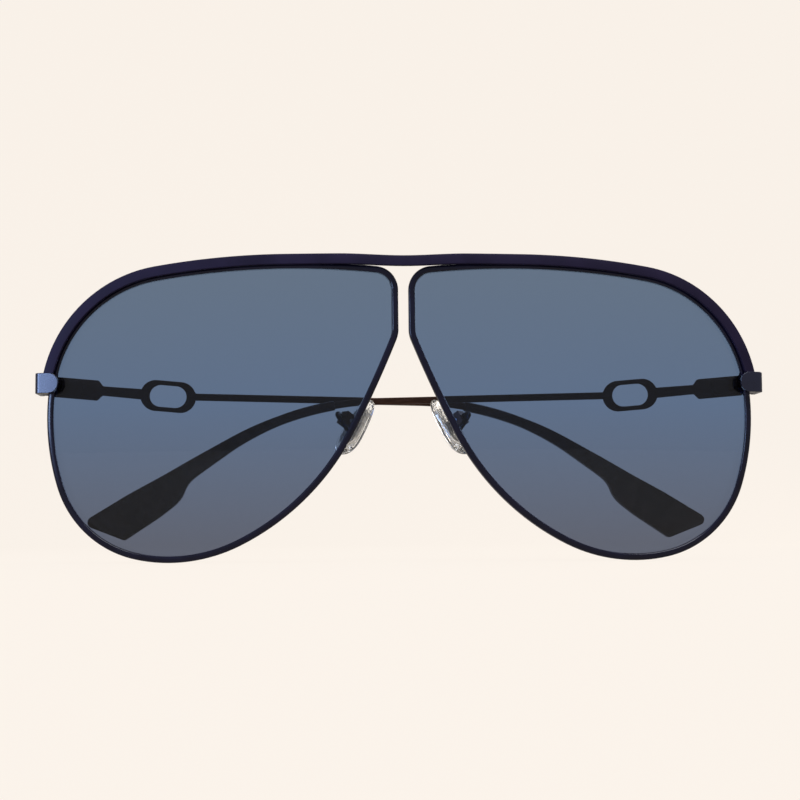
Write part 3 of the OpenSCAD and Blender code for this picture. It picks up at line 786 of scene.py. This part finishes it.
def buildScrewTree():
    # One screw on each point, turned along the direction that is kept with the point
    tree, given, result = newShapeTree(
        "slottedScrews", ("Shank Radius", "NodeSocketFloat", 0.5 * mm),
        ("Shank Length", "NodeSocketFloat", 4 * mm), ("Head Radius", "NodeSocketFloat", 0.9 * mm),
        ("Head Height", "NodeSocketFloat", 0.4 * mm), ("Slot Width", "NodeSocketFloat", 0.3 * mm))
    sums = sumsIn(tree)

    def raised(mesh, height):
        offset = addNode(tree, "ShaderNodeCombineXYZ", {"Z": height}).outputs[0]
        return addNode(tree, "GeometryNodeTransform", {"Geometry": mesh, "Translation": offset}).outputs[0]

    shank = addNode(tree, "GeometryNodeMeshCylinder", {
        "Vertices": screwHeads["shankSides"], "Radius": given["Shank Radius"],
        "Depth": given["Shank Length"]}).outputs["Mesh"]
    head = addNode(tree, "GeometryNodeMeshCylinder", {
        "Vertices": screwHeads["headSides"], "Radius": given["Head Radius"],
        "Depth": given["Head Height"]}).outputs["Mesh"]
    # The slot's cutter is longer than the head is wide, and its lower half is in the head
    slotSize = addNode(tree, "ShaderNodeCombineXYZ", {
        "X": sums("MULTIPLY", given["Head Radius"], 4.0), "Y": given["Slot Width"],
        "Z": given["Head Height"]}).outputs[0]
    slot = addNode(tree, "GeometryNodeMeshCube", {"Size": slotSize}).outputs["Mesh"]
    cutHead = addNode(tree, "GeometryNodeMeshBoolean", {
        0: raised(head, sums("MULTIPLY", given["Head Height"], 0.5)), 1: raised(slot, given["Head Height"])},
        operation="DIFFERENCE").outputs["Mesh"]
    joined = addNode(tree, "GeometryNodeJoinGeometry")
    tree.links.new(raised(shank, sums("MULTIPLY", given["Shank Length"], -0.5)), joined.inputs[0])
    tree.links.new(cutHead, joined.inputs[0])
    way = addNode(tree, "GeometryNodeInputNamedAttribute", {"Name": "axis"}, data_type="FLOAT_VECTOR")
    turn = addNode(tree, "FunctionNodeAlignRotationToVector", {"Vector": way.outputs[0]}, axis="Z").outputs[0]
    placed = addNode(tree, "GeometryNodeInstanceOnPoints", {
        "Points": given["Geometry"], "Instance": joined.outputs[0], "Rotation": turn}).outputs[0]
    endShapeTree(tree, placed, "steelScrew", result)
    return tree


def screwPlaces(kind):
    # Where the left screw's head sits, and the way that it points
    if kind == "hinge":
        return joints["left_temple_fold"] + Vector((0, 0, screws["hinge"][1] / 2)), Vector((0, 0, 1))
    if kind == "lock":
        low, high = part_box("left_lock_screw")
        middle = (low + high) / 2
        return Vector((middle.x, middle.y, low.z + screws["lock"][3])), Vector((0, 0, -1))
    place = padFrame @ Vector((pad["screwOut"], pad["boxWidth"] / 2, 0))
    return place, (padFrame.to_3x3() @ Vector((0, 1, 0))).normalized()


def buildScrews():
    tree = buildScrewTree()
    for kind, (shankRadius, shankLength, headRadius, headHeight) in screws.items():
        place, way = screwPlaces(kind)
        mesh = bpy.data.meshes.new(kind + "ScrewPoints")
        mesh.from_pydata(flipped([place], 1) + flipped([place], -1), [], [])
        ways = mesh.attributes.new("axis", "FLOAT_VECTOR", "POINT")
        for item, sign in zip(ways.data, (1, -1)):
            item.vector = (sign * way.x, way.y, way.z)
        piece = useTree(kind + "Screws", mesh, tree, {
            "Shank Radius": shankRadius, "Shank Length": shankLength, "Head Radius": headRadius,
            "Head Height": headHeight, "Slot Width": screwHeads["slotShare"] * headRadius})
        breakEdges(piece, screwHeads["edgeShare"] * headHeight, screwHeads)
        settle(bake(piece), "front", "steel", *(side + "_" + kind + "_screw" for side in sides))


# Temples, drawn along the arm from the pin, then placed
temple = {
    "length": 135.5 * mm,
    "thickness": 1.0 * mm,
    "inside": 1.6 * mm,  # from the pin to the near face of the flat metal
    "edge": 0.13 * mm,
    "gap": 0.15 * mm,
    "rootLength": 10.2 * mm,
    "rootHeight": 4.1 * mm,
    "rootShoulder": 1.3 * mm,
    "neckHeight": 1.9 * mm,
    "ringPlace": 23.2 * mm,
    "ringLength": 11.3 * mm,
    "ringHeight": 6.3 * mm,
    "eyeLength": 7.5 * mm,
    "eyeHeight": 4.5 * mm,
    "rodHeight": 1.4 * mm,
    "rootSlope": 4.8,
    "rodSlope": 1.25,
    "bendPlace": 75 * mm,
    "bendRadius": 61 * mm,
    "bendTurn": 31,
    "rightLean": 2.2,  # the right temple lies over the left one
    "shoulderSteps": 8,
    "roundSteps": 14,  # in a quarter turn of the ring
    "rodStart": 0.25 * mm,  # from the last point of the ring
    "insideSleeve": 3 * mm,
    "rodSteps": 16,
}
sleeve = {
    "place": 84 * mm,
    "startHeight": 1.9 * mm,
    "endHeight": 7.7 * mm,
    "startThickness": 1.7 * mm,
    "endThickness": 2.36 * mm,
    "thickensOver": 0.6,  # of the way from its place to the end of the temple
    # Share of the sleeve's length, and how far the edge stands off the wire in shares of endHeight
    "upperShares": ((0.22, 0.123), (0.4, 0.16), (0.545, 0.22), (0.665, 0.255), (0.8, 0.32), (1, 0.346)),
    "lowerShares": ((0.22, 0.123), (0.4, 0.165), (0.545, 0.225), (0.59, 0.255), (0.62, 0.35), (0.64, 0.48),
                    (0.675, 0.575), (0.75, 0.63), (0.9, 0.654)),
    "edge": 0.3 * mm,
    "upperCorner": 1.2 * mm,
    "lowerCorner": 0.6 * mm,
    "startCorner": 0.45 * mm,
    "stepCorner": 1.0 * mm,
    "step": 0.5 * mm,
    "endPoints": 8,  # points from a corner that give the way of the edges there
    "startPoints": 5,
    "arcSteps": 10,
    "edgeSteps": 4,
    "sharp": 60,
}
rootSlope, rodSlope = radians(temple["rootSlope"]), radians(temple["rodSlope"])
ringDrop = -temple["ringPlace"] * tan(rootSlope)
bendDrop = ringDrop - (temple["bendPlace"] - temple["ringPlace"]) * tan(rodSlope)
bendCentre = (temple["bendPlace"] - temple["bendRadius"] * sin(rodSlope),
              bendDrop - temple["bendRadius"] * cos(rodSlope))
bendLength = temple["bendRadius"] * radians(temple["bendTurn"])
earSlope = rodSlope + radians(temple["bendTurn"])


def wireAt(length):
    # Place along and up, and slope, of the wire's middle at a length from the start of the bend
    turn = min(length / temple["bendRadius"], radians(temple["bendTurn"]))
    along = bendCentre[0] + temple["bendRadius"] * sin(rodSlope + turn)
    up = bendCentre[1] + temple["bendRadius"] * cos(rodSlope + turn)
    rest = max(0, length - bendLength)
    return along + rest * cos(earSlope), up - rest * sin(earSlope), rodSlope + turn


def off(middle, out):
    # The place at a distance above the wire's middle, square to the wire
    return middle[0] + out * sin(middle[2]), middle[1] + out * cos(middle[2])


earStart = wireAt(bendLength)
endRise = sleeve["endHeight"] * sleeve["upperShares"][-1][1]
earLength = (temple["length"] - earStart[0] - endRise * sin(earSlope)) / cos(earSlope)
sleeveTurn = asin((sleeve["place"] - bendCentre[0]) / temple["bendRadius"]) - rodSlope
sleeveStart = sleeveTurn * temple["bendRadius"]  # lengths along the wire, from the start of the bend
sleeveLength = bendLength + earLength - sleeveStart


def templeFrame(side):
    # Along the arm, outwards when it is worn, and up
    pin = joints[side + "_temple_fold"]
    if side == "left":
        return Matrix.Translation(pin) @ Matrix.Diagonal((-1, 1, 1, 1))
    return Matrix.Translation(pin) @ Matrix.Rotation(radians(temple["rightLean"]), 4, "Z")


def oblongEdge(length, height):
    # The upper half of an oblong with round ends, from one end to the other
    radius, steps = height / 2, temple["roundSteps"]
    turns = [pi / 2 * i / steps for i in range(steps + 1)]
    left = [(-length / 2 + radius - radius * cos(t), radius * sin(t)) for t in turns]
    return left + [(-x, z) for x, z in reversed(left)]


def armOutline():
    # Half heights along the sloping part: root, shoulder, neck and ring. The rod follows them
    half, neck, rod = temple["rootHeight"] / 2, temple["neckHeight"] / 2, temple["rodHeight"] / 2
    ring = temple["ringPlace"] / cos(rootSlope)
    start, end, shoulder = temple["gap"], temple["rootLength"], temple["rootShoulder"]
    sloping = [(start, half)]
    for i in range(temple["shoulderSteps"] + 1):
        share = i / temple["shoulderSteps"]
        ease = share * share * (3 - 2 * share)
        sloping.append((end - shoulder + shoulder * share, half + (neck - half) * ease))
    ringEdge = [(ring + x, z) for x, z in oblongEdge(temple["ringLength"], temple["ringHeight"])]
    sloping += [p for p in ringEdge if p[1] > neck or p[0] > ring]

    def turned(s, z):
        return s * cos(rootSlope) + z * sin(rootSlope), -s * sin(rootSlope) + z * cos(rootSlope)

    def rodEdge(x, sign):
        return ringDrop - (x - temple["ringPlace"]) * tan(rodSlope) + sign * rod / cos(rodSlope)

    edges = []
    reach, steps = sleeveStart + temple["insideSleeve"], temple["rodSteps"]
    for sign in (1, -1):
        edge = [turned(s, sign * z) for s, z in sloping]
        edge = [p for p in edge if p[0] < temple["ringPlace"] or sign * (p[1] - rodEdge(p[0], sign)) > 0]
        rodStart = edge[-1][0] + temple["rodStart"]
        edge.append((rodStart, rodEdge(rodStart, sign)))
        edge += [off(wireAt(reach * i / steps), sign * rod) for i in range(steps + 1)]
        edges.append(edge)
    eye = oblongEdge(temple["eyeLength"], temple["eyeHeight"])
    eyeLoop = [turned(ring + x, z) for x, z in eye] + [turned(ring + x, -z) for x, z in reversed(eye[1:-1])]
    return edges[0] + edges[1][::-1], eyeLoop


def flatPlate(name, loops, thickness, edge, edgeSteps=2):
    # A flat plate with rounded edges and holes, from loops drawn in its plane. A loop that folds
    # back on itself at a corner would turn the plate inside out
    curve = bpy.data.curves.new(name, "CURVE")
    curve.dimensions = "2D"
    curve.fill_mode = "BOTH"
    curve.extrude = thickness / 2 - edge
    curve.bevel_depth = edge
    curve.bevel_resolution = edgeSteps
    curve.offset = -edge
    for loop in loops:
        spline = curve.splines.new("POLY")
        spline.points.add(len(loop) - 1)
        for point, (x, y) in zip(spline.points, loop):
            point.co = (x, y, 0, 1)
        spline.use_cyclic_u = True
    drawn = bpy.data.objects.new(name, curve)
    scene.collection.objects.link(drawn)
    bpy.context.view_layer.update()
    mesh = bpy.data.meshes.new_from_object(drawn.evaluated_get(bpy.context.evaluated_depsgraph_get()))
    bpy.data.objects.remove(drawn)
    changeMesh(mesh, merge=True)
    return mesh


def standUp(mesh, side):
    # From the plane that a piece of the temple is drawn in to its place on the folded temple
    middle = temple["inside"] + temple["thickness"] / 2
    mesh.transform(templeFrame(side) @ Matrix.Translation((0, middle, 0)) @ Matrix.Rotation(pi / 2, 4, "X"))


def buildArms():
    outside, eye = armOutline()
    for side in sides:
        mesh = flatPlate(side + "Arm", (outside, eye), temple["thickness"], temple["edge"])
        standUp(mesh, side)
        settle(addPiece(side + "TempleArm", mesh, "bronzeMetal"), side + "_temple", "dark_metal",
               side + "_temple_arm")


def sleeveEdge(shares, sign):
    # One edge of the sleeve: straight runs between its shares, rounded off where they meet
    table = ((0, sleeve["startHeight"] / 2 / sleeve["endHeight"]),) + shares
    places = []
    for (s0, h0), (s1, h1) in zip(table, table[1:]):
        steps = ceil((s1 - s0) * sleeveLength / sleeve["step"])
        places += [(s0 + (s1 - s0) * i / steps, h0 + (h1 - h0) * i / steps) for i in range(steps)]
    places.append(table[-1])
    reach = round(sleeve["stepCorner"] / sleeve["step"])
    smooth = []
    for i, (s, h) in enumerate(places):
        near = min(reach, i, len(places) - 1 - i)
        span = places[i - near:i + near + 1]
        height = sleeve["endHeight"] * sum(p[1] for p in span) / len(span)
        smooth.append(Vector(off(wireAt(sleeveStart + s * sleeveLength), sign * height)))
    return smooth


def roundedEnd(before, corner, after, radius):
    # An arc in place of a corner between two straight runs, and how much of each run it takes
    u, v = (before - corner).normalized(), (after - corner).normalized()
    half = u.angle(v) / 2
    centre = corner + (u + v).normalized() * radius / sin(half)
    start, end = corner + u * radius / tan(half) - centre, corner + v * radius / tan(half) - centre
    turn, steps = start.angle_signed(end), sleeve["arcSteps"]
    arc = [centre + Matrix.Rotation(-turn * i / steps, 2) @ start for i in range(steps + 1)]
    return arc, radius / tan(half)


def sleeveOutline():
    # Out along the upper edge, round the end, back along the lower edge and round the start
    upper, lower = sleeveEdge(sleeve["upperShares"], 1), sleeveEdge(sleeve["lowerShares"], -1)
    atEnd, atStart = -sleeve["endPoints"], sleeve["startPoints"] - 1
    upperEnd, upperEndTaken = roundedEnd(upper[atEnd], upper[-1], lower[-1], sleeve["upperCorner"])
    lowerEnd, lowerEndTaken = roundedEnd(upper[-1], lower[-1], lower[atEnd], sleeve["lowerCorner"])
    lowerStart, lowerStartTaken = roundedEnd(lower[atStart], lower[0], upper[0], sleeve["startCorner"])
    upperStart, upperStartTaken = roundedEnd(lower[0], upper[0], upper[atStart], sleeve["startCorner"])

    def between(edge, startTaken, endTaken):
        return [p for p in edge if (p - edge[0]).length > startTaken and (p - edge[-1]).length > endTaken]

    upperRun = between(upper, upperStartTaken, upperEndTaken)
    lowerRun = between(lower, lowerStartTaken, lowerEndTaken)
    return upperRun + upperEnd + lowerEnd + lowerRun[::-1] + lowerStart + upperStart


def buildSleeves():
    outside = sleeveOutline()
    thickest = sleeve["endThickness"]
    thin = 1 - sleeve["startThickness"] / thickest
    growth = sleeve["thickensOver"] * (temple["length"] - sleeve["place"])
    for side in sides:
        mesh = flatPlate(side + "Sleeve", (outside,), thickest, sleeve["edge"], sleeve["edgeSteps"])
        for vertex in mesh.vertices:
            grown = (vertex.co.x - sleeve["place"]) / growth
            vertex.co.z *= 1 - thin * (1 - min(1, max(0, grown)))
        standUp(mesh, side)
        settle(addPiece(side + "TempleSleeve", mesh, "brownAcetate"), side + "_temple", "tip_brown",
               side + "_temple_tip", sharp=sleeve["sharp"])


# Nose pads: crowned clear pads on soldered wires
pad = {
    "length": 13 * mm,
    "width": 8 * mm,
    "thickness": 2 * mm,
    "bulge": 1.35 * mm,  # of the soft face that rests on the nose
    "place": (9.4 * mm, 8.6 * mm, -2.8 * mm),
    "lean": 32,
    "splay": 34,
    "topShare": 0.7,
    "squareness": 0.7,  # 1 is an oval, and less is squarer
    "crownPower": 3,
    "groove": 0.16 * mm,  # a shallow channel inside the pad's edge, on both faces
    "groovePlace": 0.74,
    "grooveSpread": 0.08,
    "rings": 30,
    "around": 72,
    "sharp": 80,
    "wireWidth": 1.0 * mm,
    "wireStart": 2.4 * mm,  # depth of the back of the rim, where the wire is soldered
    "wireLeaves": 2,  # pull of the wire's curve at the rim and at the box, in wire widths
    "wireArrives": 4,
    "wireSteps": 32,
    "wireSides": 20,
    "boxOut": 3.65 * mm,
    "boxWidth": 2.3 * mm,
    "screwOut": 2.15 * mm,
}
padFrame = (Matrix.Translation(pad["place"]) @ Matrix.Rotation(-radians(pad["splay"]), 4, "Z")
            @ Matrix.Rotation(-radians(pad["lean"]), 4, "Y"))


def buildPadWireTree():
    tree, given, result = newShapeTree(
        "roundWire", ("Radius", "NodeSocketFloat", 0.5 * mm), ("Around", "NodeSocketInt", 20))
    path = addNode(tree, "GeometryNodeMeshToCurve", {"Mesh": given["Geometry"]}).outputs[0]
    circle = addNode(tree, "GeometryNodeCurvePrimitiveCircle", {
        "Resolution": given["Around"], "Radius": given["Radius"]}).outputs[0]
    wire = addNode(tree, "GeometryNodeCurveToMesh", {
        "Curve": path, "Profile Curve": circle, "Fill Caps": True}).outputs[0]
    endShapeTree(tree, wire, "wireLacquer", result)
    return tree


def padWirePath():
    # From the back of the rim, where the third arc of the outline starts, round to the pad's box
    heading = front["firstHeading"] + sum(front["arcTurns"][:2])
    corner = min(outline, key=lambda p: abs(p[4] - heading))
    x, z = beside(corner, rim["outside"] / 2)
    start = onFront(x, z, pad["wireStart"])
    end = padFrame @ Vector((pad["boxOut"], 0, 0))
    first = start + Vector((0, pad["wireLeaves"] * pad["wireWidth"], 0))
    last = end + pad["wireArrives"] * pad["wireWidth"] * (end - Vector(pad["place"])).normalized()
    path = []
    for i in range(pad["wireSteps"] + 1):
        t = i / pad["wireSteps"]
        outer = (1 - t) ** 3 * start + t ** 3 * end
        path.append(outer + 3 * t * (1 - t) ** 2 * first + 3 * t * t * (1 - t) * last)
    return path


def boxy(value):
    # A sine or cosine drawn towards the corners of a box
    return abs(value) ** pad["squareness"] * (1 if value > 0 else -1)


def padPlaces():
    # Rings over the soft face from its middle to the rim, and back over the other face
    rings, places = pad["rings"], []
    for face, steps in ((-1, range(rings + 1)), (1, range(rings - 1, -1, -1))):
        height = pad["bulge"] if face < 0 else pad["thickness"] / 2
        for k in steps:
            share = sin(pi / 2 * k / rings)
            crown = height * (1 - share ** pad["crownPower"]) ** 0.5
            crown -= pad["groove"] * exp(-((share - pad["groovePlace"]) / pad["grooveSpread"]) ** 2)
            for i in range(pad["around"]):
                t = 2 * pi * i / pad["around"]
                up = boxy(sin(t)) * pad["length"] / 2
                narrow = 1 - (1 - pad["topShare"]) * (up / pad["length"] + 0.5)
                across = boxy(cos(t)) * narrow * pad["width"] / 2
                places.append(padFrame @ Vector((face * crown, share * across, share * up)))
    return places


def buildPads():
    tree = buildPadWireTree()
    places, n = padPlaces(), pad["around"]
    faces = [(k * n + i, (k + 1) * n + i, (k + 1) * n + (i + 1) % n, k * n + (i + 1) % n)
             for k in range(2 * pad["rings"]) for i in range(n)]
    for side, sign in sides.items():
        wire = useTree(side + "PadWire", chain(flipped(padWirePath(), sign)), tree, {
            "Radius": pad["wireWidth"] / 2, "Around": pad["wireSides"]})
        settle(wire, "front", "dark_metal", side + "_pad_arm")
        mesh = bpy.data.meshes.new(side + "Pad")
        mesh.from_pydata([tuple(p) for p in flipped(places, sign)], [], faces)
        changeMesh(mesh, merge=True)
        settle(addPiece(side + "NosePad", mesh, "clearSilicone"), side + "_pad", "clear_silicone",
               side + "_nose_pad", sharp=pad["sharp"])


buildRims()
buildBrowBar()
buildLenses()
print("front: rims, brow bar and lenses built")
buildSmallMetal()
buildScrews()
print("endpieces, hinges and screws built")
buildArms()
buildSleeves()
print("temples built")
buildPads()
print("nose pads built")

for node, packed in frame["nodes"].items():
    if not packed.hide_render:
        print("packed node still shown:", node)
